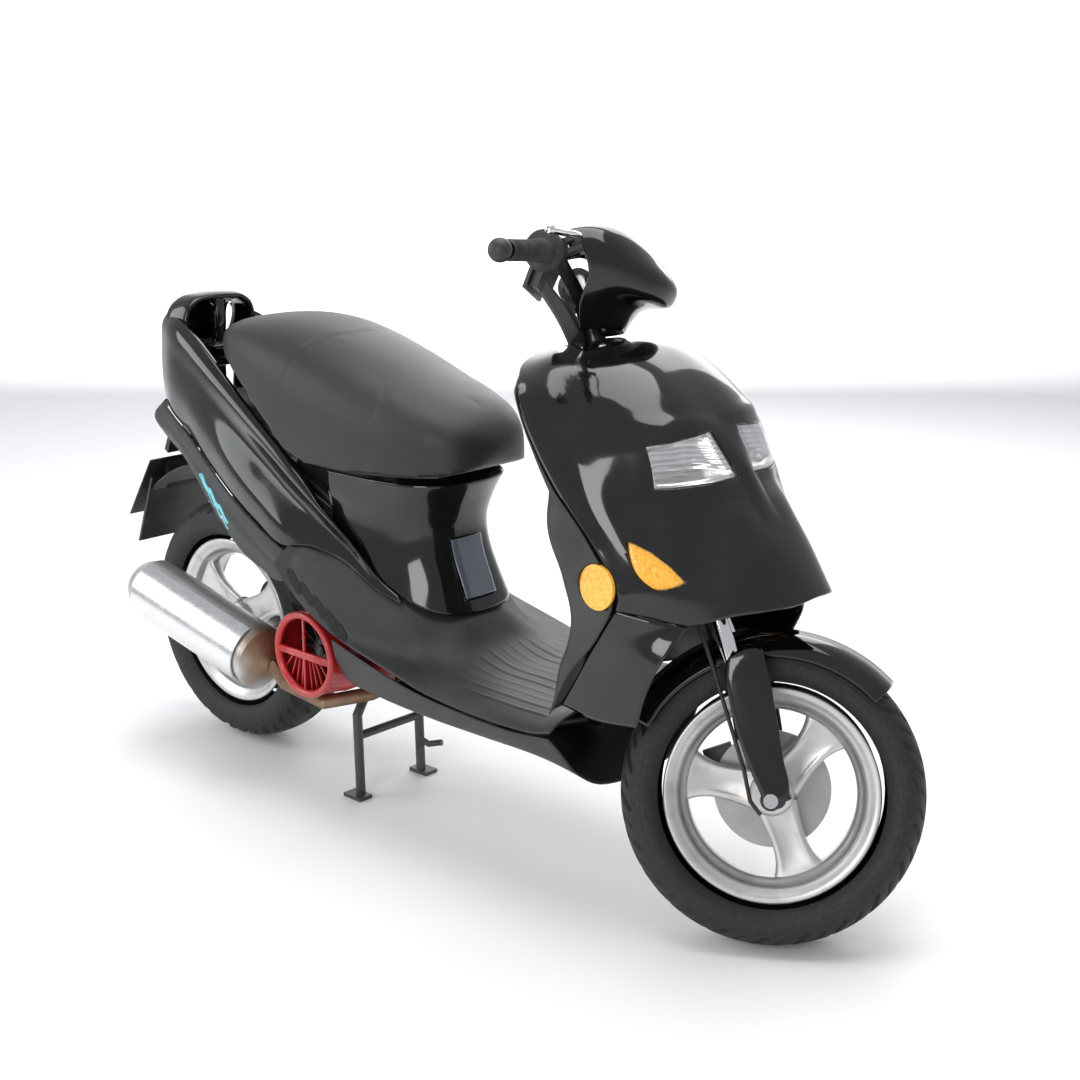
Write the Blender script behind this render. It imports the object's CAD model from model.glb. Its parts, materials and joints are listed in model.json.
import json
import math
import bmesh
import bpy
import numpy as np
from mathutils import Matrix, Vector
from mathutils.bvhtree import BVHTree


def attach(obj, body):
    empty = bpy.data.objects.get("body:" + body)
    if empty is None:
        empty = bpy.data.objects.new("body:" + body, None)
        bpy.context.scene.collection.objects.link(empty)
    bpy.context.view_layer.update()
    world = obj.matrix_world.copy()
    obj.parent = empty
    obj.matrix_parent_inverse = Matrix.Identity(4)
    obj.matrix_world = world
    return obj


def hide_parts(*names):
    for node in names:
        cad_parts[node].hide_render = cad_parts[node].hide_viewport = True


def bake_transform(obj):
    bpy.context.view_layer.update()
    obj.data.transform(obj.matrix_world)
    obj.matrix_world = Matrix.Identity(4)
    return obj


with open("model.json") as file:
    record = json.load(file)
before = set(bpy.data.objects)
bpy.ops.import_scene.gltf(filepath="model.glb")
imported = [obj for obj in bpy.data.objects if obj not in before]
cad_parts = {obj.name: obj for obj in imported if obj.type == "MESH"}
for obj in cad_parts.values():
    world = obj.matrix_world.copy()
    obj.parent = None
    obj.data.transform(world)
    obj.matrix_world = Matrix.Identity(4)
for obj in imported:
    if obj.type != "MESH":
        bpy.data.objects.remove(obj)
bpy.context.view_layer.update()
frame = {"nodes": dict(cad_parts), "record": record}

# ---------------------------------------------------------------- studio
# A pale floor, one large soft light from above and in front, a weaker one from
# behind, and the camera at standing height off the scooter's right front.
camera = bpy.data.objects.new("camera", bpy.data.cameras.new("camera"))
bpy.context.collection.objects.link(camera)
camera.location = (2.124, -2.078, 1.324)
camera.rotation_euler = Vector((-0.6564, 0.7072, -0.2627)).to_track_quat("-Z", "Y").to_euler()
camera.data.lens = 58.45
camera.data.sensor_width = 36.0
bpy.context.scene.camera = camera


def soft_light(name, place, aim, size, power, tint=(1.0, 1.0, 1.0)):
    """Square area light at a place, turned to face the point aim."""
    lamp = bpy.data.objects.new(name, bpy.data.lights.new(name, "AREA"))
    lamp.data.size = size
    lamp.data.energy = power
    lamp.data.color = tint
    lamp.location = place
    lamp.rotation_euler = (Vector(aim) - Vector(place)).to_track_quat("-Z", "Y").to_euler()
    bpy.context.collection.objects.link(lamp)
    return lamp


soft_light("overhead", (0.2, 0.2, 3.6), (0.0, 0.0, 0.5), 2.6, 78.0)
soft_light("front_right", (1.2, -3.2, 1.6), (0.1, 0.0, 0.4), 1.3, 34.0, (1.0, 0.98, 0.95))
soft_light("rear_right", (-2.6, -2.2, 1.8), (-0.2, 0.0, 0.5), 2.0, 42.0, (0.93, 0.97, 1.0))
soft_light("rear_left", (-1.4, 2.8, 2.4), (0.0, 0.0, 0.5), 2.4, 45.0)
soft_light("backdrop", (-3.4, 3.6, 3.4), (-7.0, 7.5, 2.2), 4.0, 420.0)
sky = bpy.data.worlds.new("sky")
sky.use_nodes = True
sky.node_tree.nodes["Background"].inputs["Color"].default_value = (0.93, 0.95, 1.0, 1.0)
sky.node_tree.nodes["Background"].inputs["Strength"].default_value = 0.55
bpy.context.scene.world = sky
bpy.context.scene.view_settings.view_transform = "Standard"


class Wired:
    """A socket of a material. Arithmetic on it adds Math nodes."""

    def __init__(self, finish, socket):
        self.finish, self.socket = finish, socket

    def sum(self, operation, *values):
        return self.finish.node("ShaderNodeMath", {"operation": operation}, dict(enumerate(values)))

    def __add__(self, other):
        return self.sum("ADD", self, other)

    def __radd__(self, other):
        return self.sum("ADD", other, self)

    def __sub__(self, other):
        return self.sum("SUBTRACT", self, other)

    def __rsub__(self, other):
        return self.sum("SUBTRACT", other, self)

    def __mul__(self, other):
        return self.sum("MULTIPLY", self, other)

    def __rmul__(self, other):
        return self.sum("MULTIPLY", other, self)

    def __truediv__(self, other):
        return self.sum("DIVIDE", self, other)

    def __pow__(self, other):
        return self.sum("POWER", self, other)

    def __gt__(self, other):
        return self.sum("GREATER_THAN", self, other)

    def __lt__(self, other):
        return self.sum("LESS_THAN", self, other)

    def smooth(self, low, high):
        """0 below low, 1 above high and an even rise between."""
        settings = {"interpolation_type": "SMOOTHSTEP"}
        return self.finish.node("ShaderNodeMapRange", settings, {"Value": self, "From Min": low, "From Max": high})


class Finish:
    """One material: its node tree, and the shader's sockets set by name."""

    def __init__(self, name, **constants):
        self.material = bpy.data.materials.new(name)
        self.material.use_nodes = True
        self.tree = self.material.node_tree
        self.shader = self.tree.nodes["Principled BSDF"]
        for key, value in constants.items():
            self.shader.inputs[key.replace("_", " ").title().replace("Ior", "IOR")].default_value = value

    def node(self, kind, settings, sockets, output=0):
        """Node of a kind: its settings, then the values or links of its sockets."""
        made = self.tree.nodes.new(kind)
        for key, value in settings.items():
            if key == "stops":
                ramp = made.color_ramp
                while len(ramp.elements) < len(value):
                    ramp.elements.new(0.5)
                for element, (place, colour) in zip(ramp.elements, value):
                    element.position, element.color = place, colour
            else:
                setattr(made, key, value)
        for key, value in sockets.items():
            if isinstance(value, Wired):
                self.tree.links.new(value.socket, made.inputs[key])
            else:
                made.inputs[key].default_value = value
        return Wired(self, made.outputs[output])

    def place(self):
        """The point of the surface, in the row frame's metres."""
        return self.node("ShaderNodeTexCoord", {}, {}, 3)

    def noise(self, scale, detail=3.0, roughness=0.55, at=None):
        sockets = {"Vector": at or self.place(), "Scale": scale, "Detail": detail, "Roughness": roughness}
        return self.node("ShaderNodeTexNoise", {"noise_dimensions": "3D"}, sockets)

    def mix(self, share, first, second):
        """Colour between two, by share."""
        return self.node("ShaderNodeMix", {"data_type": "RGBA"}, {0: share, 6: first, 7: second}, 2)

    def drive(self, **sockets):
        for key, value in sockets.items():
            self.tree.links.new(value.socket, self.shader.inputs[key.replace("_", " ").title()])
        return self

    def bump(self, height, strength, distance):
        sockets = {"Height": height, "Strength": strength, "Distance": distance}
        return self.drive(normal=self.node("ShaderNodeBump", {}, sockets))


def grey(value, warm=0.0):
    """Opaque grey, a little warmer or cooler."""
    return (value * (1 + warm), value, value * (1 - warm), 1.0)


def dress(node, finish):
    """Gives a CAD node its finish."""
    obj = frame["nodes"][node]
    obj.data.materials.clear()
    obj.data.materials.append(finish.material)
    return obj


floor_finish = Finish("studio_floor", roughness=0.62)
shade = floor_finish.mix(floor_finish.noise(1.4), grey(0.93), grey(0.96))
floor_finish.drive(base_color=shade)
floor_mesh = bpy.data.meshes.new("studio_floor")
sweep = [(-14.0, 0.0), (7.0, 0.0), (9.0, 0.25), (10.4, 1.0), (11.2, 2.4), (11.5, 4.5), (11.5, 12.0)]
away = np.array([-0.68, 0.73])
edge = np.array([0.73, 0.68])
corners = [(*(away * out + edge * wide), up) for out, up in sweep for wide in (-16.0, 16.0)]
floor_mesh.from_pydata(corners, [], [(2 * k, 2 * k + 1, 2 * k + 3, 2 * k + 2) for k in range(len(sweep) - 1)])
floor_mesh.polygons.foreach_set("use_smooth", np.ones(len(sweep) - 1, bool))
studio_floor = bpy.data.objects.new("studio_floor", floor_mesh)
bpy.context.collection.objects.link(studio_floor)
studio_floor.data.materials.append(floor_finish.material)

# ---------------------------------------------------------------- tyres
# Fat tubeless scooter tyres, vulcanised rubber with a directional tread: swept
# grooves cut from near the crown to the shoulder, and plain sidewalls with fine rings.
MM = 0.001


def grid_faces(rows, columns, wrap_rows, wrap_columns):
    """Quads between neighbours of a rows by columns grid, closed either way if asked."""
    r = np.arange(rows if wrap_rows else rows - 1)
    c = np.arange(columns if wrap_columns else columns - 1)
    a, b = np.meshgrid(r, c, indexing="ij")
    a2, b2 = (a + 1) % rows, (b + 1) % columns
    quads = np.stack([a * columns + b, a2 * columns + b, a2 * columns + b2, a * columns + b2], axis=-1)
    return quads.reshape(-1, 4)


def piece(name, points, finish, body, stands_for=(), wrap=(False, False), wall=0.0, flip=False, capped=False,
          bevel=0.0, uv=None):
    """Mesh from a grid of points, turned to face outwards, with a wall inwards if asked; rides on a body if given."""
    points = np.asarray(points, float)
    rows, columns = points.shape[:2]
    quads = grid_faces(rows, columns, *wrap)
    if flip:
        quads = quads[:, ::-1]
    faces = quads.tolist()
    if capped:
        first, last = list(range(columns)), [(rows - 1) * columns + k for k in range(columns)]
        faces += [first[::-1] if not flip else first, last if not flip else last[::-1]]
    mesh = bpy.data.meshes.new(name)
    mesh.from_pydata(points.reshape(-1, 3).tolist(), [], faces)
    mesh.polygons.foreach_set("use_smooth", np.ones(len(mesh.polygons), bool))
    if capped or wrap[0] or wrap[1]:
        work = bmesh.new()
        work.from_mesh(mesh)
        bmesh.ops.remove_doubles(work, verts=work.verts, dist=1e-6)
        bmesh.ops.recalc_face_normals(work, faces=work.faces)
        work.to_mesh(mesh)
        work.free()
    mesh.update()
    obj = bpy.data.objects.new(name, mesh)
    bpy.context.collection.objects.link(obj)
    mesh.materials.append(finish.material)
    if wall:
        solid = obj.modifiers.new("wall", "SOLIDIFY")
        solid.thickness, solid.offset = wall, -1.0
        solid.use_even_offset = False
    if bevel:
        edge = obj.modifiers.new("edge", "BEVEL")
        edge.width, edge.segments, edge.limit_method = bevel, 2, "ANGLE"
    if body:
        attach(obj, body)
    if stands_for:
        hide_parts(*stands_for)
    return obj


def about_axis(radius, along, turns, centre, axis, first):
    """Surface of revolution: each (radius, along) pair swept round axis through centre, from direction first."""
    axis, first = np.array(axis), np.array(first)
    third = np.cross(axis, first)
    angle = np.linspace(0, 2 * np.pi, turns, endpoint=False)[:, None, None]
    radius, along = np.asarray(radius), np.asarray(along)
    if radius.ndim == 1:
        radius, along = np.tile(radius, (turns, 1)), np.tile(along, (turns, 1))
    spoke = np.cos(angle) * first + np.sin(angle) * third
    return np.array(centre) + radius[..., None] * spoke + along[..., None] * axis


rubber = Finish("tyre_rubber", roughness=0.62)
dusty = rubber.noise(150.0, 5.0)
rubber.drive(base_color=rubber.mix(dusty.smooth(0.4, 0.8), grey(0.009), grey(0.022, 0.05)))
rubber.bump(rubber.noise(900.0, 2.0), 0.12, 0.0006)


def tyre_piece(name, node, body, radius, half, centre, axis, first):
    """Rounded tyre section; grooves sweep back from the crown and sink by up to 4 mm at their middle.

    The section runs bead to bead with t from -1 to 1; its radius falls away as |t| rises and its width is
    widest near two thirds.
    """
    turns, across = 600, 97
    t = np.linspace(-1, 1, across)
    bend = t * np.pi * 0.74
    low = 0.153
    mid = (radius + low) / 2 + 0.006
    height = radius - mid
    radial = mid + height * np.sign(np.cos(bend)) * np.abs(np.cos(bend)) ** 0.82
    radial = np.maximum(radial, low)
    side = half * np.sign(np.sin(bend)) * np.abs(np.sin(bend)) ** 0.86
    angle = np.linspace(0, 2 * np.pi, turns, endpoint=False)[:, None]
    crown = np.abs(bend)[None, :]
    swept = angle * 22 / (2 * np.pi) + 0.62 * crown + np.where(bend > 0, 0.5, 0.0)[None, :]
    place = np.abs((swept % 1.0) - 0.5)
    cut = np.clip((0.115 - place) / 0.04, 0, 1) * np.clip((crown - 0.10) / 0.06, 0, 1) * np.clip((1.22 - crown) / 0.12, 0, 1)
    fine = np.abs(((swept + 0.5) % 1.0) - 0.5)
    cut = cut + 0.8 * np.clip((0.07 - fine) / 0.03, 0, 1) * np.clip((crown - 0.55) / 0.06, 0, 1) * np.clip((1.1 - crown) / 0.1, 0, 1)
    ring = 0.0007 * np.clip(np.cos(bend * 46), 0, 1)[None, :] * (crown > 1.35) * (crown < 1.9)
    depth = 0.0058 * np.clip(cut, 0, 1) - ring
    toward = np.stack([np.cos(bend) * np.ones_like(angle), np.sin(bend) * np.ones_like(angle)])
    shape_r = np.tile(radial, (turns, 1)) - depth * toward[0]
    shape_y = np.tile(side, (turns, 1)) - depth * toward[1]
    points = about_axis(shape_r, shape_y, turns, centre, axis, first)
    return piece(name, points, rubber, body, (node,), wrap=(True, False))


def joint(name):
    """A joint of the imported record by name."""
    return next(j for j in frame["record"]["behaviour"]["joints"] if j["name"] == name)


front_hub = np.array(joint("front_wheel_spin")["pos_m"])
front_axis = np.array(joint("front_wheel_spin")["axis"])
steer_axis = np.array(joint("steering_turn")["axis"])
steer_foot = np.array(joint("steering_turn")["pos_m"])
fork_ahead = np.cross(front_axis, steer_axis)
rear_hub = np.array(joint("rear_wheel_spin")["pos_m"])
rear_axis = np.array([0.0, 1.0, 0.0])
FRONT_R, REAR_R = 0.235, 0.243
tyre_piece("front_tyre_tread", "front_tyre", "front_wheel", FRONT_R, 0.059, front_hub, front_axis, fork_ahead)
tyre_piece("rear_tyre_tread", "rear_tyre", "rear_wheel", REAR_R, 0.064, rear_hub, rear_axis, (1.0, 0.0, 0.0))

# ---------------------------------------------------------------- wheels
# Cast alloy wheels, painted silver: a deep rim with rolled lips, three broad
# dished spokes that flare into it, and a turned hub with a bearing seal.
silver = Finish("wheel_silver", roughness=0.34, metallic=0.85)
cloud = silver.noise(26.0, 5.0)
silver.drive(base_color=silver.mix(cloud.smooth(0.5, 0.8), grey(0.62, 0.01), grey(0.44, 0.05)),
             roughness=0.28 + 0.22 * cloud)
silver.bump(silver.noise(700.0, 2.0), 0.08, 0.0004)


def wheel_piece(name, node, body, half, hub, spoke_at, centre, axis, first):
    """Rim by revolution; each spoke a rounded box section carried outwards, widening at both ends."""
    lip = np.array([(148, -half + 10), (154, -half + 3), (163, -half - 1), (166.5, -half + 0.5), (166, -half + 3.5),
                    (158, -half + 5), (153, -half + 8), (152, -half + 17), (141, -half + 24), (136, -half + 32)])
    lip = lip * MM
    outer = np.concatenate([lip, (lip * (1, -1))[::-1]])
    back = outer[::-1] - np.array([0.0055, 0.0])
    back = back[(back[:, 0] < 0.1475)]
    profile = np.concatenate([outer, back])
    rim = about_axis(profile[:, 0], profile[:, 1], 180, centre, axis, first)
    piece(name, rim, silver, body, (node,), wrap=(True, True))
    third = np.cross(axis, first)
    for k in range(3):
        angle = np.radians(90 + 120 * k)
        out = np.cos(angle) * np.array(first) + np.sin(angle) * third
        wide = np.cross(axis, out)
        reach = np.linspace(0.022, 0.139, 26)[:, None]
        share = (reach - 0.022) / 0.117
        width = 0.022 + 0.011 * (1 - share) ** 2 + 0.028 * share ** 4
        deep = 0.013 - 0.002 * np.sin(np.pi * share)
        round_at = np.linspace(0, 2 * np.pi, 40, endpoint=False)[None, :]
        c, s = np.cos(round_at), np.sin(round_at)
        u = width * np.sign(c) * np.abs(c) ** 0.45
        v = deep * np.sign(s) * np.abs(s) ** 0.45
        dish = 0.0045 * np.clip(1 - (u / (width * 0.68)) ** 2, 0, 1) ** 0.5 * np.sin(np.pi * np.clip(share * 1.1, 0, 1)) * np.sign(s)
        v = v - dish + spoke_at * MM
        points = (np.array(centre) + reach[..., None] * out + u[..., None] * wide + v[..., None] * np.array(axis))
        piece(f"{name}_spoke_{k + 1}", points, silver, body, wrap=(False, True), capped=True)
    low, high = hub
    radii = np.array([9, 20, 21, 27, 30, 34, 35, 35, 31, 27, 21, 20, 9]) * MM
    steps = np.array([low, low, low + 1, low + 1.5, low + 4, low + 6, low + 14, high - 14, high - 8, high - 2, high - 1,
                      high, high]) * MM
    core = about_axis(radii, steps, 96, centre, axis, first)
    piece(f"{name}_hub", core, silver, body, wrap=(True, False))


wheel_piece("front_wheel_casting", "front_rim", "front_wheel", 44, (-36, 34), 0, front_hub, front_axis, fork_ahead)
wheel_piece("rear_wheel_casting", "rear_rim", "rear_wheel", 46, (-40, 60), -14, rear_hub, rear_axis, (1.0, 0.0, 0.0))

# ---------------------------------------------------------------- bodywork panels
# Injection-moulded panels, 3 mm thick. The outer ones are pigmented gloss black;
# the inner shield, floor and belly are dark grey with a fine moulded grain.
gloss = Finish("gloss_black", roughness=0.16, coat_weight=0.35, coat_roughness=0.03, ior=1.45)
haze = gloss.noise(9.0, 5.0)
gloss.drive(base_color=gloss.mix(haze.smooth(0.4, 0.85), grey(0.004), grey(0.010, 0.03)),
            roughness=0.08 + 0.10 * haze.smooth(0.35, 0.8))
gloss.bump(gloss.noise(55.0, 1.0), 0.05, 0.0006)

grained = Finish("grained_grey", roughness=0.5)
film = grained.noise(7.0, 5.0)
grained.drive(base_color=grained.mix(film.smooth(0.35, 0.8), grey(0.020, -0.03), grey(0.044, 0.02)),
              roughness=0.42 + 0.2 * film)
grained.bump(grained.node("ShaderNodeTexVoronoi", {}, {"Vector": grained.place(), "Scale": 850.0}), 0.22, 0.0003)


def along_curve(points, steps):
    """Cubic pieces by chord length down axis 0 of an array of points; each slope the mean of its two chords."""
    chord = np.maximum(np.linalg.norm(np.diff(points, axis=0), axis=-1), 1e-6)[..., None]
    slope = np.diff(points, axis=0) / chord
    inner = (slope[:-1] * chord[1:] + slope[1:] * chord[:-1]) / (chord[:-1] + chord[1:])
    tangent = np.concatenate([slope[:1], inner, slope[-1:]])
    t = (np.arange(steps) / steps).reshape(-1, *([1] * points.ndim))
    rise, left, right = 3 * t**2 - 2 * t**3, t**3 - 2 * t**2 + t, t**3 - t**2
    spans = (points[:-1] + np.diff(points, axis=0) * rise + tangent[:-1] * chord * left + tangent[1:] * chord * right)
    spans = np.moveaxis(spans, 0, 1).reshape(-1, *points.shape[1:])
    return np.concatenate([spans, points[-1:]])


def spread(points, count):
    """The same curves as count points evenly spaced along each, down axis 0."""
    line = along_curve(points, 8)
    run = np.concatenate([np.zeros((1, line.shape[1])), np.cumsum(np.linalg.norm(np.diff(line, axis=0), axis=-1), axis=0)])
    want = np.linspace(0, 1, count)
    columns = []
    for k in range(line.shape[1]):
        columns.append(np.stack([np.interp(want * run[-1, k], run[:, k], line[:, k, i]) for i in range(3)], axis=-1))
    return np.stack(columns, axis=1)


def panel_grid(rows, pitch=0.007):
    """Even grid over a panel given by rows of points in millimetres."""
    table = np.array(rows, float) * MM
    across = int(np.linalg.norm(np.diff(table, axis=1), axis=-1).sum(axis=1).max() / pitch) + 2
    down = int(np.linalg.norm(np.diff(table, axis=0), axis=-1).sum(axis=0).max() / pitch) + 2
    wide = spread(np.swapaxes(table, 0, 1), across)
    return spread(np.swapaxes(wide, 0, 1), down)


def whole(rows):
    """Rows of the right half made whole across the centre plane."""
    return [[(x, -y, z) for x, y, z in reversed(row)] + list(row[1:]) for row in rows]


def mirrored(points):
    """Grid on the other side of the scooter."""
    return points * np.array([1, -1, 1])


def tree_of(points):
    """Ray-casting tree over a grid of points."""
    flat = points.reshape(-1, 3)
    quads = grid_faces(points.shape[0], points.shape[1], False, False)
    return BVHTree.FromPolygons([tuple(p) for p in flat], [tuple(q) for q in quads.tolist()])


def laid_on(tree, starts, direction, lift):
    """Points cast along a direction onto a surface and lifted off it against that direction."""
    flat = np.asarray(starts).reshape(-1, 3)
    aim = Vector(direction).normalized()
    landed = []
    for start in flat:
        hit, normal, face, gap = tree.ray_cast(Vector(start) - aim, aim)
        if hit is None:
            hit, normal = tree.find_nearest(Vector(start))[:2]
        if normal.dot(aim) > 0:
            normal = -normal
        landed.append(hit + normal * lift)
    return np.array(landed).reshape(np.asarray(starts).shape)


def filled(corners, across, down):
    """Grid between four corners, in the order low inner, low outer, high outer, high inner."""
    a, b, c, d = (np.array(p, float) for p in corners)
    u, v = np.linspace(0, 1, across)[None, :, None], np.linspace(0, 1, down)[:, None, None]
    return (a * (1 - u) + b * u) * (1 - v) + (d * (1 - u) + c * u) * v


def cut_by(obj, cutters):
    """Cuts closed shapes out of a piece and applies its modifiers."""
    for cutter in cutters:
        hole = obj.modifiers.new("hole", "BOOLEAN")
        hole.operation, hole.object, hole.solver = "DIFFERENCE", cutter, "EXACT"
    graph = bpy.context.evaluated_depsgraph_get()
    mesh = bpy.data.meshes.new_from_object(obj.evaluated_get(graph))
    obj.modifiers.clear()
    obj.data = mesh
    for cutter in cutters:
        bpy.data.objects.remove(cutter)


def prism(outline, direction, depth):
    """Closed straight-sided shape from an outline of points, carried along a direction."""
    outline = np.array(outline, float)
    push = np.array(direction, float) * depth
    mesh = bpy.data.meshes.new("prism")
    count = len(outline)
    sides = [(k, (k + 1) % count, count + (k + 1) % count, count + k) for k in range(count)]
    faces = [tuple(range(count))[::-1], tuple(range(count, 2 * count))] + sides
    mesh.from_pydata([tuple(p) for p in np.concatenate([outline, outline + push])], [], faces)
    work = bmesh.new()
    work.from_mesh(mesh)
    bmesh.ops.recalc_face_normals(work, faces=work.faces)
    work.to_mesh(mesh)
    work.free()
    obj = bpy.data.objects.new("prism", mesh)
    bpy.context.collection.objects.link(obj)
    return obj


APRON = [
    [(254, 0, 886), (260, -70, 882), (280, -130, 873), (314, -176, 858), (326, -191, 850), (334, -198, 842)],
    [(330, 0, 901), (333, -70, 898), (344, -130, 884), (370, -184, 842), (362, -199, 824), (350, -203, 812)],
    [(407, 0, 902), (410, -70, 897), (418, -128, 875), (424, -188, 798), (402, -203, 782), (378, -206, 770)],
    [(480, 0, 871), (481, -70, 865), (482, -126, 842), (478, -184, 758), (446, -204, 740), (412, -209, 728)],
    [(541, 0, 826), (541, -70, 820), (538, -124, 794), (522, -171, 714), (490, -203, 688), (455, -210, 682)],
    [(590, 0, 762), (588, -70, 756), (576, -118, 736), (560, -154, 678), (532, -193, 648), (500, -209, 636)],
    [(644, 0, 690), (640, -68, 683), (616, -106, 662), (604, -140, 636), (574, -178, 606), (530, -205, 592)],
    [(702, 0, 627), (695, -58, 620), (674, -90, 606), (648, -118, 592), (610, -157, 568), (540, -203, 566)],
    [(749, 0, 567), (741, -48, 562), (716, -78, 556), (682, -100, 548), (628, -141, 532), (532, -200, 548)],
]

ARCH_COVER = [
    [(624, -144, 529), (584, -178, 537), (531, -201, 545)],
    [(606, -180, 480), (555, -192, 487), (492, -196, 493)],
    [(578, -184, 420), (515, -191, 418), (446, -193, 414)],
    [(562, -184, 366), (480, -190, 360), (414, -190, 368)],
]

LEGSHIELD = [
    [(256, 0, 877), (262, -70, 874), (280, -130, 866), (308, -172, 853), (322, -190, 845), (329, -195, 836)],
    [(276, 0, 820), (286, -50, 818), (322, -138, 815), (334, -184, 812), (343, -199, 811), (347, -202, 809)],
    [(308, 0, 740), (318, -44, 738), (366, -138, 737), (380, -186, 736), (392, -205, 732), (407, -209, 726)],
    [(324, 0, 650), (334, -40, 650), (392, -138, 649), (402, -186, 648), (410, -210, 647), (494, -212, 638)],
    [(330, 0, 574), (340, -38, 574), (408, -138, 573), (420, -180, 573), (434, -202, 574), (534, -207, 572)],
    [(334, 0, 502), (344, -38, 502), (408, -130, 501), (424, -170, 501), (442, -192, 502), (498, -200, 496)],
    [(334, 0, 430), (344, -38, 430), (398, -125, 430), (406, -165, 430), (418, -192, 428), (440, -198, 424)],
    [(324, 0, 354), (336, -38, 354), (390, -125, 354), (394, -165, 353), (397, -190, 352), (401, -198, 350)],
]

FLOOR_Y = (0, -50, -90, -118, -140, -158, -174, -190, -204)
FLOOR = {
    -262: (500, 500, 500, 500, 498, 494, 488, 478, 466),
    -228: (505, 505, 505, 504, 500, 494, 480, 456, 432),
    -176: (500, 500, 500, 498, 492, 476, 450, 420, 396),
    -116: (482, 482, 482, 478, 466, 436, 404, 382, 371),
    -60: (455, 455, 453, 444, 420, 388, 368, 359, 356),
    0: (425, 424, 418, 400, 372, 354, 347, 344, 343),
    60: (398, 392, 368, 348, 340, 336, 334, 332, 330),
    110: (350, 346, 338, 332, 329, 327, 325, 323, 319),
    160: (331, 330, 328, 327, 326, 324, 322, 319, 313),
    240: (328, 327, 326, 325, 324, 322, 319, 315, 309),
    320: (328, 327, 326, 325, 324, 322, 319, 315, 309),
    375: (333, 332, 331, 330, 329, 327, 324, 320, 314),
    404: (346, 345, 344, 343, 341, 338, 334, 329, 322),
}

PILLAR = [
    [(66, 0, 400), (64, -34, 401), (52, -72, 404), (22, -100, 414), (-46, -122, 444), (-120, -131, 478), (-190, -132, 500)],
    [(46, 0, 450), (43, -34, 451), (30, -70, 452), (0, -96, 456), (-60, -118, 474), (-124, -127, 496), (-190, -131, 514)],
    [(24, 0, 505), (21, -34, 505), (8, -68, 505), (-20, -94, 506), (-74, -114, 515), (-130, -123, 528), (-190, -129, 540)],
    [(18, 0, 545), (15, -34, 545), (2, -68, 545), (-24, -94, 546), (-78, -112, 552), (-132, -121, 560), (-190, -127, 568)],
    [(30, 0, 588), (27, -36, 588), (14, -72, 588), (-16, -98, 588), (-74, -116, 590), (-132, -126, 596), (-190, -133, 604)],
    [(54, 0, 632), (50, -38, 632), (36, -78, 632), (4, -106, 632), (-64, -122, 632), (-130, -128, 633), (-190, -134, 634)],
]

SIDE_PANEL = [
    [(-22, -121, 432), (-20, -122, 430), (-18, -123, 428), (-17, -123, 425), (-16, -123, 422)],
    [(-54, -126, 452), (-58, -131, 452), (-60, -134, 446), (-62, -136, 440), (-62, -134, 436)],
    [(-120, -134, 508), (-124, -141, 514), (-132, -138, 498), (-140, -146, 486), (-146, -147, 482)],
    [(-182, -139, 556), (-192, -148, 564), (-202, -140, 532), (-208, -156, 508), (-210, -159, 496)],
    [(-252, -139, 620), (-264, -151, 620), (-272, -141, 572), (-280, -166, 524), (-284, -168, 486)],
    [(-330, -137, 672), (-342, -148, 668), (-350, -138, 618), (-356, -164, 560), (-360, -162, 514)],
    [(-410, -130, 720), (-422, -142, 714), (-430, -137, 666), (-436, -158, 604), (-440, -154, 552)],
    [(-500, -116, 772), (-508, -130, 766), (-516, -134, 714), (-522, -142, 650), (-526, -139, 596)],
    [(-590, -100, 820), (-596, -116, 813), (-602, -124, 757), (-606, -128, 696), (-610, -121, 640)],
    [(-664, -86, 850), (-670, -100, 842), (-676, -110, 782), (-682, -110, 720), (-688, -104, 672)],
    [(-716, -70, 862), (-722, -80, 852), (-730, -88, 788), (-733, -86, 722), (-732, -82, 685)],
]

LOWER_TRIM = [
    [(-236, -176, 472), (-230, -192, 452), (-226, -196, 440)],
    [(-284, -170, 484), (-276, -188, 458), (-268, -190, 428)],
    [(-360, -164, 512), (-350, -178, 482), (-338, -172, 434)],
    [(-440, -156, 550), (-430, -168, 520), (-412, -160, 452)],
    [(-526, -141, 594), (-514, -154, 566), (-490, -146, 492)],
    [(-610, -123, 638), (-596, -138, 612), (-566, -130, 540)],
    [(-690, -106, 670), (-676, -122, 646), (-640, -112, 584)],
    [(-740, -82, 682), (-752, -98, 656), (-735, -92, 622)],
    [(-756, -40, 684), (-784, -52, 652), (-786, -56, 620)],
]

BELLY = [
    [(422, 0, 198), (421, -60, 199), (416, -104, 208), (409, -150, 240), (405, -184, 284), (401, -203, 308)],
    [(330, 0, 226), (330, -70, 227), (330, -126, 234), (330, -164, 256), (330, -194, 286), (330, -204, 301)],
    [(200, 0, 228), (200, -70, 229), (200, -128, 235), (200, -166, 257), (200, -194, 286), (200, -204, 302)],
    [(80, 0, 228), (80, -70, 229), (80, -128, 235), (80, -166, 257), (80, -194, 292), (80, -204, 313)],
    [(-20, 0, 230), (-20, -70, 231), (-20, -128, 238), (-20, -166, 262), (-20, -194, 302), (-20, -204, 333)],
    [(-110, 0, 236), (-110, -70, 237), (-110, -128, 244), (-110, -168, 272), (-110, -196, 322), (-110, -204, 356)],
]
apron_grid = panel_grid(whole(APRON), 0.005)
ax, ay, az = apron_grid[..., 0], np.abs(apron_grid[..., 1]), apron_grid[..., 2]
beak = np.clip(1 - np.abs(az - 0.735) / 0.075, 0, 1) ** 0.8 * np.clip(1 - (ay / (0.020 + 0.35 * np.clip(az - 0.735, 0, 1))) ** 2, 0, 1)
scoop = np.exp(-((az - 0.706) / 0.016) ** 2) * np.exp(-((ay - 0.075) / 0.042) ** 4)
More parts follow.
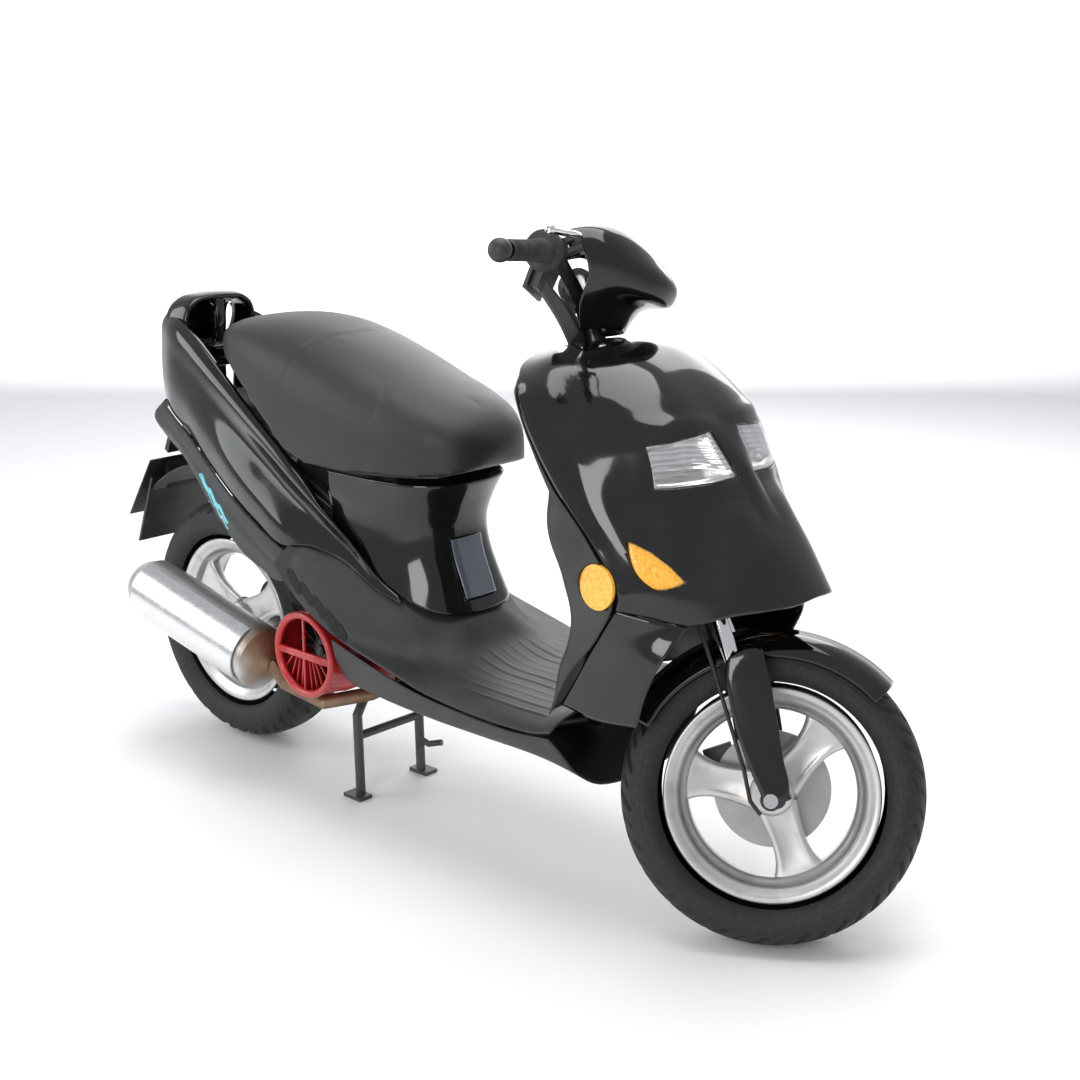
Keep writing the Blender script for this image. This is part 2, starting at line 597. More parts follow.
brow = np.exp(-((az - 0.806) / 0.012) ** 2) * np.exp(-((ay - 0.080) / 0.060) ** 4)
apron_grid[..., 0] += 0.007 * beak - 0.006 * scoop + 0.004 * brow
apron_grid[..., 2] += 0.004 * beak + 0.003 * brow
apron_tree = tree_of(apron_grid)
apron = piece("front_apron_shell", apron_grid, gloss, "frame", ("front_apron",), wall=0.003)


def mid_ring(outline, spread_by):
    """Outline grown away from its middle by a distance."""
    outline = np.array(outline, float)
    away = outline - outline.mean(axis=0)
    return outline + away / np.linalg.norm(away, axis=1)[:, None] * spread_by


LAMP = [(-24, 733), (-142, 726), (-136, 782), (-34, 794)]
SIGNAL = [(541, 652), (552, 648), (575, 636), (600, 617), (620, 595), (606, 586), (588, 583), (573, 592), (560, 606), (548, 630)]
lamp_holes = []
for side in (1, -1):
    hole = [(0.44, side * y * MM, z * MM) for y, z in mid_ring(LAMP, 4)]
    lamp_holes.append(prism(hole, (1, 0, 0), 0.3))
    hole = [(x * MM, side * 0.24, z * MM) for x, z in SIGNAL]
    lamp_holes.append(prism(hole, (0, -side, 0), 0.13))
cut_by(apron, lamp_holes)

shield = piece("legshield_shell", panel_grid(whole(LEGSHIELD)), grained, "frame", ("legshield",), wall=-0.003)
turn = np.linspace(0, 2 * np.pi, 40, endpoint=False)
oval_holes = []
for side in (1, -1):
    oval = np.stack([0.506 + 0.033 * np.cos(turn), np.full(40, side * 0.24), 0.580 + 0.036 * np.sin(turn)], axis=-1)
    oval_holes.append(prism(oval, (0, -side, 0), 0.06))
cut_by(shield, oval_holes)
belly = panel_grid(whole(BELLY))
piece("belly_shell", belly, grained, "frame", ("belly_pan",), wall=0.003, flip=True)
arch = panel_grid(ARCH_COVER)
piece("arch_cover_right", arch, gloss, "frame", ("wheel_arch_covers",), wall=-0.003)
piece("arch_cover_left", mirrored(arch), gloss, "frame", (), wall=0.003)
pillar_grid = panel_grid(whole(PILLAR))
pillar_shell = piece("pillar_shell", pillar_grid, gloss, "frame", ("seat_pillar_cover",), wall=0.003)
gap = [(-0.03, y, z) for y, z in ((-0.037, 0.424), (0.037, 0.424), (0.037, 0.528), (-0.037, 0.528))]
cut_by(pillar_shell, [prism(gap, (1, 0, 0), 0.14)])
panel_sheen = Finish("access_panel", roughness=0.14, coat_weight=1.0, coat_roughness=0.04)
sheen = panel_sheen.noise(7.0, 3.0)
panel_sheen.drive(base_color=panel_sheen.mix(sheen.smooth(0.3, 0.8), (0.075, 0.088, 0.115, 1.0), (0.13, 0.15, 0.19, 1.0)))
corners = [(0.4, y, z) for y, z in ((-0.0355, 0.4255), (0.0355, 0.4255), (0.0355, 0.5265), (-0.0355, 0.5265))]
lid = laid_on(tree_of(pillar_grid), filled(corners, 20, 26), (-1, 0, 0), 0.0008)
piece("access_panel", lid, panel_sheen, "frame", ("access_cover",), wall=0.003)
panel = panel_grid(SIDE_PANEL)
piece("side_panel_right", panel, gloss, "frame", ("side_panels",), wall=0.003)
piece("side_panel_left", mirrored(panel), gloss, "frame", (), wall=-0.003)
trim = panel_grid(LOWER_TRIM)
piece("lower_trim_right", trim, grained, "frame", ("lower_trims",), wall=0.003)
piece("lower_trim_left", mirrored(trim), grained, "frame", (), wall=-0.003)

floor_rows = [[(x, y, z) for y, z in zip(FLOOR_Y, heights)] for x, heights in FLOOR.items()]
floor_grid = panel_grid(whole(floor_rows), 0.0045)
x, y = floor_grid[..., 0], np.abs(floor_grid[..., 1])
ribs = np.clip(1 - np.abs(((y / 0.024) % 1.0) - 0.5) / 0.09, 0, 1)
tread_zone = np.clip((x - 0.10) / 0.02, 0, 1) * np.clip((0.365 - x) / 0.02, 0, 1) * np.clip((0.172 - y) / 0.004, 0, 1)
floor_grid[..., 2] += 0.0022 * ribs * tread_zone
piece("floor_shell", floor_grid, grained, "frame", ("floorboard",), wall=-0.003)

# Dark louvre slots let into the rear wings of the floor, a plain two-tone stripe on the
# lower trim, and a small slotted vent at the top of the apron.
shadow = Finish("deep_black", roughness=0.7)
shadow.drive(base_color=shadow.mix(shadow.noise(60.0), grey(0.003), grey(0.008)))
stripe = Finish("teal_stripe", roughness=0.3, coat_weight=0.5)
weave = stripe.noise(45.0, 3.0)
stripe.drive(base_color=stripe.mix(weave.smooth(0.3, 0.7), (0.02, 0.42, 0.50, 1.0), (0.10, 0.58, 0.66, 1.0)))
floor_tree = tree_of(panel_grid(whole(floor_rows), 0.01))
trim_tree = tree_of(trim)


def capsule(start, end, half, across=7, steps=14):
    """Flat grid with rounded ends between two points in a plane, half its width."""
    start, end = np.array(start, float), np.array(end, float)
    run = (end - start) / np.linalg.norm(end - start)
    side = np.array([-run[1], run[0]])
    t = np.linspace(0, 1, steps)[:, None]
    v = np.linspace(-1, 1, across)[None, :]
    width = half * np.sqrt(np.clip(1 - np.abs(2 * t - 1) ** 6, 0.02, 1))
    return start + (end - start) * t[..., None] + side * (width * v)[..., None]


for side, word in ((1, "left"), (-1, "right")):
    for k in range(5):
        at = -0.236 + 0.030 * k
        flat = capsule((at, 0.458 - 0.019 * k), (at + 0.040, 0.420 - 0.016 * k), 0.0056)
        starts = np.stack([flat[..., 0], np.full(flat.shape[:2], side * 0.5), flat[..., 1]], axis=-1)
        slot = laid_on(floor_tree, starts, (0, -side, 0), 0.0006)
        piece(f"wing_slot_{word}_{k + 1}", slot, shadow, "frame", wall=0.0006)
    for k, (low, high) in enumerate((((-0.545, 0.574), (-0.440, 0.500)), ((-0.520, 0.540), (-0.450, 0.486)))):
        flat = capsule(low, high, 0.0075 - 0.0025 * k, steps=24)
        flat[..., 1] += 0.004 * np.sin(np.linspace(0, 6 * np.pi, 24))[:, None]
        starts = np.stack([flat[..., 0], np.full(flat.shape[:2], side * 0.5), flat[..., 1]], axis=-1)
        mark = laid_on(trim_tree, starts, (0, -side, 0), 0.0006)
        piece(f"trim_stripe_{word}_{k + 1}", mark, stripe, "frame", wall=0.0006)
for k in (-1, 0, 1):
    flat = capsule((0.520, 0.0115 * k), (0.560 - 0.006 * abs(k), 0.0115 * k), 0.0036)
    starts = np.stack([flat[..., 0], flat[..., 1], np.full(flat.shape[:2], 1.2)], axis=-1)
    vent = laid_on(apron_tree, starts, (0, 0, -1), 0.0006)
    piece(f"apron_vent_{k + 2}", vent, shadow, "frame", wall=0.0006)

# ---------------------------------------------------------------- lamps
# Twin clear headlights with bright reflectors behind them, amber indicator and
# side reflectors, a red tail light; all moulded acrylic.
clear = Finish("clear_lens", roughness=0.06, ior=1.49, transmission_weight=0.92)
clear.drive(base_color=clear.mix(clear.noise(30.0), grey(0.93), grey(0.99)))
mirror_bright = Finish("lamp_reflector", roughness=0.14, metallic=1.0)
flute = mirror_bright.node("ShaderNodeTexWave", {"bands_direction": "Z"}, {"Vector": mirror_bright.place(), "Scale": 42.0}, 1)
mirror_bright.drive(base_color=mirror_bright.mix(flute, grey(0.62), grey(0.93)))
mirror_bright.bump(flute, 0.35, 0.002)
amber = Finish("amber_lens", roughness=0.12, coat_weight=0.6, ior=1.49)
cells = amber.node("ShaderNodeTexVoronoi", {}, {"Vector": amber.place(), "Scale": 190.0})
amber.drive(base_color=amber.mix(cells.smooth(0.1, 0.6), (0.95, 0.33, 0.02, 1.0), (1.0, 0.52, 0.06, 1.0)))
amber.bump(cells, 0.4, 0.001)
red = Finish("red_lens", roughness=0.12, coat_weight=0.6, ior=1.49)
ruby = red.node("ShaderNodeTexVoronoi", {}, {"Vector": red.place(), "Scale": 190.0})
red.drive(base_color=red.mix(ruby.smooth(0.1, 0.6), (0.42, 0.008, 0.008, 1.0), (0.62, 0.03, 0.02, 1.0)))
red.bump(ruby, 0.4, 0.001)

lamp_pieces = []
for side, word in ((1, "right"), (-1, "left")):
    corners = [(2.0, side * y * MM, z * MM) for y, z in mid_ring(LAMP, 3.6)]
    patch = laid_on(apron_tree, filled(corners, 34, 20), (-1, 0, 0), -0.0012)
    lens = piece(f"headlight_lens_{word}", patch, clear, "frame", ("headlight_lenses",) if side > 0 else (), wall=0.0024,
                 flip=side > 0)
    deep = laid_on(apron_tree, filled([(2.0, side * y * MM, z * MM) for y, z in mid_ring(LAMP, 2)], 34, 20), (-1, 0, 0), -0.002)
    u = np.linspace(-1, 1, 34)[None, :]
    v = np.linspace(-1, 1, 20)[:, None]
    deep[..., 0] -= 0.045 * (1 - u**4) * (1 - v**4)
    bowl = piece(f"headlight_bowl_{word}", deep, mirror_bright, "frame", ("headlight_housings",) if side > 0 else (),
                 wall=0.0015, flip=side > 0)
    lamp_pieces.append((lens, bowl))

def leaf(outline, inner, rings=9):
    """Grid from an outline of points in to its middle."""
    outline = np.array(outline, float)
    middle = outline.mean(axis=0)
    share = np.linspace(1, inner, rings)[:, None, None]
    return middle + (outline[None] - middle) * share


outline = along_curve(np.array([(x, 0, z) for x, z in SIGNAL + SIGNAL[:1]], float)[:, None, :], 5)[:-1, 0] * MM
for side, word in ((1, "left"), (-1, "right")):
    grid = leaf(outline * 1.0, 0.02)
    grid = grid.mean(axis=(0, 1)) + (grid - grid.mean(axis=(0, 1))) * 0.965
    grid[..., 1] = side * 0.5
    skin = laid_on(apron_tree, grid, (0, -side, 0), 0.0014)
    piece(f"indicator_lens_{word}", skin, amber, "frame", ("indicator_lenses",) if side > 0 else (), wrap=(False, True),
          wall=0.003)
rear_lens = np.array([(-0.750, 0.0545, 0.721)])
for side, word in ((1, "left"), (-1, "right")):
    dome = about_axis(np.array([0.0005, 4, 7.5, 9, 9.4]) * MM, np.array([9.0, 8.4, 6, 3, 0]) * MM, 32,
                      (-0.753, side * 0.0545, 0.721), (-1.0, 0.0, 0.0), (0.0, 1.0, 0.0))
    piece(f"rear_indicator_{word}", dome * (1, 1, 1), amber, "frame", wrap=(True, False))

for node, finish in (("side_reflectors", amber), ("tail_light_lens", red)):
    dress(node, finish)

# ---------------------------------------------------------------- seat
# One-piece cushion: cold-cured foam under grained black vinyl, crowned, with a soft
# crease between the rider's and passenger's places and a stitched edge seam.
vinyl = Finish("seat_vinyl", roughness=0.5, coat_weight=0.12, coat_roughness=0.3)
worn = vinyl.noise(6.0, 5.0)
leather_cells = vinyl.node("ShaderNodeTexVoronoi", {"feature": "DISTANCE_TO_EDGE"}, {"Vector": vinyl.place(), "Scale": 620.0})
vinyl.drive(base_color=vinyl.mix(worn.smooth(0.4, 0.75), grey(0.008), grey(0.018, 0.02)), roughness=0.40 + 0.16 * worn)
vinyl.bump(leather_cells.smooth(0.0, 0.25) + 0.35 * vinyl.noise(26.0, 3.0), 0.35, 0.0006)
SEAT = [
    (-566, 829, 834, 8), (-563, 827, 838, 24), (-556, 824, 842, 44), (-535, 812, 854, 84), (-500, 800, 866, 112), (-450, 782, 873, 136),
    (-400, 752, 876, 148), (-350, 714, 875, 155), (-300, 676, 870, 158), (-240, 648, 858, 158),
    (-160, 643, 834, 154), (-80, 646, 806, 146), (-10, 650, 784, 134), (45, 654, 764, 112),
    (82, 660, 738, 82), (96, 668, 720, 54), (103, 678, 708, 30), (106, 688, 698, 8),
]


def seat_surface(count=150, around=72):
    """Closed cushion skin: at each place along x a flat base and a rounded crown.

    Height over the base follows h(a) = top * cos(a)**0.42 as the half width runs out as sin(a)**0.8, so the
    sides stand upright and the top is gently domed.
    """
    table = np.array(SEAT, float)
    even = np.linspace(-1, 1, count)
    at = (table[0, 0] + table[-1, 0]) / 2 + (table[-1, 0] - table[0, 0]) / 2 * np.sin(even * np.pi / 2 * 0.98) / np.sin(np.pi / 2 * 0.98)
    curve = along_curve(table[:, None, :], 40)[:, 0]
    low, top, half = (np.interp(at, curve[:, 0], curve[:, k]) for k in (1, 2, 3))
    a = np.linspace(-np.pi / 2, np.pi / 2, around)
    out = np.sign(np.sin(a)) * np.abs(np.sin(a)) ** 0.8
    rise = np.abs(np.cos(a)) ** 0.42
    x = np.repeat(at[:, None], around, axis=1)
    y = half[:, None] * out[None, :]
    z = low[:, None] + (top - low)[:, None] * rise[None, :]
    return np.stack([x, y, z], axis=-1) * MM


cushion = piece("seat_cushion_cover", seat_surface(), vinyl, "seat", ("seat_cushion",), wrap=(False, True), capped=True)


def upholster(obj, rounds=20):
    """Cloth pulled over the foam: a copied skin, evenly remeshed, swells a little and creases."""
    worked = obj.data.copy()
    obj.data = worked
    remesh = obj.modifiers.new("even", "REMESH")
    remesh.mode, remesh.voxel_size, remesh.use_smooth_shade = "VOXEL", 0.0075, True
    graph = bpy.context.evaluated_depsgraph_get()
    mesh = bpy.data.meshes.new_from_object(obj.evaluated_get(graph))
    obj.modifiers.clear()
    obj.data = mesh
    count = len(mesh.vertices)
    rest = np.empty(count * 3)
    mesh.vertices.foreach_get("co", rest)
    rest = rest.reshape(-1, 3)
    held = obj.vertex_groups.new(name="held")
    crease = np.abs(rest[:, 0] + 0.262 - 0.02 * np.cos(rest[:, 1] * 16)) < 0.004
    fixed = (rest[:, 2] < np.interp(rest[:, 0], np.array(SEAT)[:, 0] * MM, np.array(SEAT)[:, 1] * MM) + 0.012) | crease
    held.add(np.nonzero(fixed)[0].tolist(), 1.0, "REPLACE")
    cloth = obj.modifiers.new("cloth", "CLOTH")
    made = cloth.settings
    made.quality, made.mass = 6, 0.35
    made.tension_stiffness = made.compression_stiffness = 22.0
    made.shear_stiffness, made.bending_stiffness = 12.0, 1.2
    made.use_pressure, made.uniform_pressure_force = True, 3.2
    made.vertex_group_mass, made.pin_stiffness = "held", 1.0
    made.effector_weights.gravity = 0.0
    scene = bpy.context.scene
    scene.frame_start, scene.frame_end = 1, rounds
    cloth.point_cache.frame_end = rounds
    for step in range(1, rounds + 1):
        scene.frame_set(step)
    graph = bpy.context.evaluated_depsgraph_get()
    swollen = bpy.data.meshes.new_from_object(obj.evaluated_get(graph))
    moved = np.empty(len(swollen.vertices) * 3)
    swollen.vertices.foreach_get("co", moved)
    shift = moved.reshape(-1, 3) - rest
    shift[crease] -= (0, 0, 0.0028)
    length = np.linalg.norm(shift, axis=1, keepdims=True)
    shift *= np.minimum(1.0, 0.007 / np.maximum(length, 1e-9))
    obj.modifiers.clear()
    obj.data = swollen
    swollen.vertices.foreach_set("co", (rest + shift).ravel())
    scene.frame_set(1)
    swollen.materials.clear()
    swollen.materials.append(vinyl.material)
    swollen.polygons.foreach_set("use_smooth", np.ones(len(swollen.polygons), bool))
    finer = obj.modifiers.new("finer", "SUBSURF")
    finer.levels = finer.render_levels = 1


upholster(cushion)

# ---------------------------------------------------------------- headset, grips and controls
# Helmet-shaped shell over the bars, instruments behind it, and on each side a
# switch pod, a soft ribbed grip with a bell flange and ball end, and a chromed lever.
HEADSET = [
    [(47, 0, 740), (44, -24, 740), (32, -42, 744), (12, -54, 750), (-14, -58, 758)],
    [(88, 0, 764), (84, -34, 766), (68, -62, 772), (42, -84, 784), (6, -94, 796)],
    [(130, 0, 752), (124, -36, 758), (104, -70, 772), (70, -98, 798), (30, -112, 822)],
    [(146, 0, 768), (139, -40, 774), (116, -80, 796), (80, -110, 826), (36, -124, 852)],
    [(140, 0, 812), (133, -42, 817), (110, -82, 836), (74, -112, 860), (30, -128, 878)],
    [(119, 0, 868), (112, -42, 870), (90, -80, 880), (56, -108, 892), (16, -122, 898)],
    [(86, 0, 909), (81, -42, 908), (62, -76, 905), (34, -100, 903), (-2, -114, 902)],
    [(36, 0, 926), (34, -42, 924), (22, -72, 918), (4, -94, 910), (-24, -106, 902)],
]
HEADSET_BACK = [
    [(-42, 0, 742), (-38, -20, 744), (-26, -40, 748), (-16, -52, 752)],
    [(-47, 0, 790), (-44, -28, 790), (-36, -54, 792), (-22, -72, 796)],
    [(-58, 0, 838), (-54, -40, 838), (-46, -72, 838), (-36, -94, 838)],
]


def on_fork(points):
    """Points given in metres in the fork's own frame (ahead, left, up the axis), brought to their place."""
    points = np.asarray(points, float)
    return (steer_foot + points[..., :1] * fork_ahead + points[..., 1:2] * front_axis + points[..., 2:] * steer_axis)


piece("headset_shell", on_fork(panel_grid(whole(HEADSET), 0.005)), gloss, "steering", ("headset_cover",), wall=0.003)
piece("headset_back", on_fork(panel_grid(whole(HEADSET_BACK), 0.006)), grained, "steering", wall=-0.003)

black_plastic = Finish("satin_black_plastic", roughness=0.45)
scuff = black_plastic.noise(16.0, 5.0)
black_plastic.drive(base_color=black_plastic.mix(scuff.smooth(0.4, 0.8), grey(0.016), grey(0.040, 0.02)),
                    roughness=0.34 + 0.26 * scuff)
black_plastic.bump(black_plastic.noise(1100.0, 2.0), 0.14, 0.0003)
soft_grip = Finish("grip_rubber", roughness=0.72)
greasy = soft_grip.noise(42.0, 4.0)
soft_grip.drive(base_color=soft_grip.mix(greasy.smooth(0.4, 0.75), grey(0.020), grey(0.046, 0.03)))
soft_grip.bump(soft_grip.noise(1500.0, 2.0), 0.15, 0.0003)
chrome = Finish("chrome", metallic=1.0, roughness=0.08)
breath = chrome.noise(14.0, 5.0)
chrome.drive(base_color=chrome.mix(breath, grey(0.78), grey(0.88, 0.01)), roughness=0.05 + 0.12 * breath.smooth(0.4, 0.8))

for side, word, body, node in ((1, "left", "steering", "bar_rubbers"), (-1, "right", "throttle", "throttle_grip")):
    inner = np.array([-0.004, side * 0.150, 0.868])
    outer = np.array([-0.059, side * 0.343, 0.855])
    line = (outer - inner) / np.linalg.norm(outer - inner)
    run = np.concatenate([[0.0380, 0.0382, 0.0395, 0.0425, 0.0455, 0.0470], np.linspace(0.050, 0.183, 220), [0.184]])
    ribs = 0.0009 * np.clip(np.cos((run - 0.05) / 0.0046 * 2 * np.pi), -0.4, 1) * (run > 0.060) * (run < 0.178)
    radius = 0.0148 + 0.0050 * np.exp(-(run - 0.047) / 0.022) + ribs
    radius[:6] = [0.0135, 0.0305, 0.0318, 0.0316, 0.0250, 0.0180]
    radius[-1] = 0.0135
    up = np.cross(line, [1.0, 0.0, 0.0])
    up = up / np.linalg.norm(up)
    skin = about_axis(radius, run, 64, inner, line, up)
    piece(f"grip_{word}", on_fork(skin), soft_grip, body, (node,), wrap=(True, False))
    tip = np.linspace(0, np.pi, 24)
    ball = about_axis(np.concatenate([[0.009], 0.0175 * np.sin(tip[5:])]),
                      np.concatenate([[0.185], 0.205 - 0.0165 * np.cos(tip[5:])]), 48, inner, line, up)
    piece(f"bar_end_{word}", on_fork(ball), black_plastic, "steering", wrap=(True, False))

for side, word, body, node in ((1, "left", "left_lever", "rear_brake_lever"), (-1, "right", "right_lever", "front_brake_lever")):
    share = np.linspace(0, 1, 60)
    mid = np.array([-0.004, side * 0.150, 0.868]) + 0.020 * np.array([-0.274, side * 0.9596, -0.0646])
    start = mid + np.array([0.038, 0.0, -0.004])
    reach = np.array([(0.0, -0.007), (0.0, 0.003), (0.011, 0.030), (0.010, 0.060), (0.000, 0.095), (-0.009, 0.130),
                      (-0.014, 0.148), (-0.016, 0.158)])
    line = along_curve(reach[:, None, :], 12)[:, 0]
    width = np.interp(np.linspace(0, 1, len(line)), [0, 0.08, 0.2, 0.5, 0.85, 0.93, 1.0], [0.007, 0.0085, 0.0075, 0.0062, 0.0052, 0.0078, 0.0050])
    thick = np.interp(np.linspace(0, 1, len(line)), [0, 0.15, 0.5, 0.85, 0.93, 1.0], [0.0040, 0.0040, 0.0042, 0.0044, 0.0070, 0.0045])
    slope = np.gradient(line, axis=0)
    slope = slope / np.linalg.norm(slope, axis=1, keepdims=True)
    round_at = np.linspace(0, 2 * np.pi, 28, endpoint=False)
    c, s = np.cos(round_at), np.sin(round_at)
    flat = np.sign(c) * np.abs(c) ** 0.7 * width[:, None]
    tall = np.sign(s) * np.abs(s) ** 0.7 * thick[:, None]
    blade = np.stack([start[0] + line[:, :1] - slope[:, 1:] * flat, start[1] + side * (line[:, 1:] + slope[:, :1] * flat),
                      start[2] + tall], axis=-1)
    piece(f"lever_{word}", on_fork(blade), chrome, body, (node,), wrap=(False, True), capped=True)

# ---------------------------------------------------------------- finishes of the smaller parts
# Steel frame in black paint, cast aluminium engine cases, baked silver exhaust paint with a
# straw-brown header, red fan housing, grey-painted stand, plated fasteners and tubes.
frame_paint = Finish("frame_paint", roughness=0.3, coat_weight=0.4)
chips = frame_paint.noise(20.0, 6.0)
frame_paint.drive(base_color=frame_paint.mix(chips.smooth(0.55, 0.8), grey(0.014), grey(0.034, 0.05)),
                  roughness=0.24 + 0.24 * chips)
cast = Finish("cast_aluminium", metallic=0.75, roughness=0.42)
oxide = cast.noise(11.0, 6.0)
cast.drive(base_color=cast.mix(oxide.smooth(0.35, 0.8), grey(0.40, 0.01), grey(0.24, 0.03)), roughness=0.34 + 0.3 * oxide)
cast.bump(cast.noise(420.0, 4.0), 0.25, 0.0006)
dark_cast = Finish("painted_case", metallic=0.4, roughness=0.4)
grime = dark_cast.noise(11.0, 6.0)
dark_cast.drive(base_color=dark_cast.mix(grime.smooth(0.35, 0.8), grey(0.045, 0.01), grey(0.10, 0.03)),
                roughness=0.34 + 0.3 * grime)
dark_cast.bump(dark_cast.noise(420.0, 4.0), 0.25, 0.0006)
pipe_paint = Finish("exhaust_paint", metallic=0.8, roughness=0.3)
where = pipe_paint.node("ShaderNodeSeparateXYZ", {}, {"Vector": pipe_paint.place()}, 0)
soot = pipe_paint.noise(15.0, 6.0)
burnt = (where + 0.08 * soot).smooth(-0.34, -0.29)
steel_look = pipe_paint.mix(soot.smooth(0.35, 0.8), grey(0.60, 0.01), grey(0.40, 0.05))
brown = pipe_paint.mix(soot.smooth(0.3, 0.7), (0.17, 0.105, 0.065, 1.0), (0.30, 0.20, 0.13, 1.0))
pipe_paint.drive(base_color=pipe_paint.mix(burnt, steel_look, brown), roughness=0.24 + 0.3 * soot)
pipe_paint.bump(pipe_paint.noise(500.0, 3.0), 0.12, 0.0004)
bright = Finish("polished_steel", metallic=1.0, roughness=0.2)
brushed = bright.noise(60.0, 4.0)
bright.drive(base_color=bright.mix(brushed, grey(0.66), grey(0.80, 0.01)), roughness=0.14 + 0.22 * brushed)
disc_steel = Finish("disc_steel", metallic=1.0, roughness=0.28)
rings = disc_steel.noise(34.0, 3.0)
disc_steel.drive(base_color=disc_steel.mix(rings, grey(0.42), grey(0.52, 0.01)), roughness=0.24 + 0.12 * rings)
red_paint = Finish("fan_red", roughness=0.34, coat_weight=0.5)
faded = red_paint.noise(9.0, 5.0)
red_paint.drive(base_color=red_paint.mix(faded.smooth(0.35, 0.8), (0.46, 0.012, 0.014, 1.0), (0.34, 0.018, 0.016, 1.0)),
                roughness=0.28 + 0.24 * faded)
stand_paint = Finish("stand_paint", roughness=0.42, coat_weight=0.2)
rubbed = stand_paint.noise(18.0, 6.0)
stand_paint.drive(base_color=stand_paint.mix(rubbed.smooth(0.45, 0.8), grey(0.040), grey(0.085, 0.06)),
                  roughness=0.34 + 0.24 * rubbed)

for finish, nodes in (
    (frame_paint, ("main_frame", "fork_yoke", "handlebar", "shock_body", "fork_sliders", "crankshaft_and_fan")),
    (chrome, ("fork_stanchions", "front_axle", "ignition_key", "kickstart_lever", "shock_rod")),
    (black_plastic, ("control_housings", "instrument_cluster", "seat_base", "rear_mudguard", "number_plate", "storage_bucket",
                     "airbox", "fuel_cap", "control_cables", "starter_button", "horn_button", "indicator_switch",
                     "cvt_cover")),
    (bright, ("heat_shield",)),
    (disc_steel, ("brake_disc",)),
    (dark_cast, ("crankcase", "brake_caliper")),
    (cast, ("fuel_tank",)),
    (pipe_paint, ("exhaust",)),
    (red_paint, ("cylinder_shroud",)),
    (stand_paint, ("centre_stand",)),
):
    for node in nodes:
        dress(node, finish)

# ---------------------------------------------------------------- front mudguard
# Moulded guard close over the tyre, gloss black, with a low crown ridge and a side
# shield on each leg that the axle nut stands out of.
def mudguard_rows():
    """Rows along the arch; radius r(y) from the axle falls towards the edges, which drop lower at the back."""
    centre = (0.044 - 0.0, -0.0)
    rows = []
    for angle in np.radians(np.linspace(24, 132, 13)):
        rows.append([(r * np.cos(angle), y, r * np.sin(angle)) for r, y in
                     ((252, 0), (251, -22), (246, -44), (234, -62), (214, -69))])
    return rows


hub_at = np.array([(front_hub - steer_foot) @ fork_ahead, 0.0, (front_hub - steer_foot) @ steer_axis])
guard = panel_grid(whole(mudguard_rows()), 0.005)
ridge = np.exp(-(guard[..., 1] / 0.011) ** 2)[..., None]
radial = guard * (1, 0, 1)
guard = guard + 0.0028 * ridge * radial / np.linalg.norm(radial, axis=-1, keepdims=True)
piece("mudguard_shell", on_fork(guard + hub_at), gloss, "fork_lowers", ("front_mudguard",), wall=0.003)
ARM = [(20, 0), (16, 60), (22, 150), (30, 190), (40, 206), (92, 206), (92, 180), (84, 120), (70, 40), (60, -14), (44, -30),
       (24, -24)]
for side, word in ((1, "left"), (-1, "right")):
    ring_of = np.array(ARM + ARM[:1], float)[:, None, :]
    outline = along_curve(np.concatenate([ring_of, np.zeros_like(ring_of[..., :1])], axis=-1), 6)[:-1, 0, :2] * MM
    middle = outline.mean(axis=0)
    layers = []
    for share, out in ((0.0, 0.0), (0.97, 0.0), (1.0, 0.0012), (0.97, 0.003), (0.8, 0.0042), (0.0, 0.0052)):
        at = middle + (outline - middle) * share
        y = np.full((len(at), 1), side * (0.1015 + out))
        layers.append(np.concatenate([at[:, :1], y, at[:, 1:]], axis=1))
    piece(f"mudguard_arm_{word}", on_fork(np.stack(layers)), gloss, "fork_lowers", wrap=(False, True))

# ---------------------------------------------------------------- tail hoop
# Smooth gloss hoop that carries on from the side panels over the tail, open below
# its top on both sides of a centre post, on a deck with a sloping back cover.
arch_line = np.array([(-74, 800), (-80, 822), (-80, 846), (-72, 868), (-54, 881), (-28, 885), (0, 886)], float)
arch_line = np.concatenate([arch_line, (arch_line[:-1] * (-1, 1))[::-1]])
line = along_curve(arch_line[:, None, :], 8)[:, 0] * MM
slope = np.gradient(line, axis=0)
slope = slope / np.linalg.norm(slope, axis=1, keepdims=True)
turn = np.linspace(0, 2 * np.pi, 32, endpoint=False)
swell = np.clip((line[:, 1] - 0.80) / 0.085, 0, 1)
deep = (0.040 - 0.012 * swell)[:, None] * np.sign(np.cos(turn)) * np.abs(np.cos(turn)) ** 0.7
thick = 0.0075 * np.sign(np.sin(turn)) * np.abs(np.sin(turn)) ** 0.7
hoop = np.stack([-0.694 + 0.014 * swell[:, None] + deep, line[:, :1] - slope[:, 1:] * thick, line[:, 1:] + slope[:, :1] * thick],
                axis=-1)
piece("tail_hoop_band", hoop, gloss, "frame", ("tail_hoop",), wrap=(False, True), capped=True)
for name, xs, ys, zs in (("post", (-0.676, -0.652), (-0.010, 0.010), (0.800, 0.882)),
                         ("deck", (-0.724, -0.590), (-0.066, 0.066), (0.796, 0.803))):
    ring = []
    for z, inset in ((zs[0], 0.003), (zs[0] + 0.002, 0.0), (zs[1] - 0.002, 0.0), (zs[1], 0.003)):
        c, sn = np.cos(turn), np.sin(turn)
        x = sum(xs) / 2 + (xs[1] - xs[0] - inset) / 2 * np.sign(c) * np.abs(c) ** 0.35
        y = sum(ys) / 2 + (ys[1] - ys[0] - inset) / 2 * np.sign(sn) * np.abs(sn) ** 0.35
        ring.append(np.stack([x, y, np.full_like(x, z)], axis=-1))
    piece(f"tail_hoop_{name}", np.stack(ring), gloss, "frame", wrap=(False, True), capped=True)
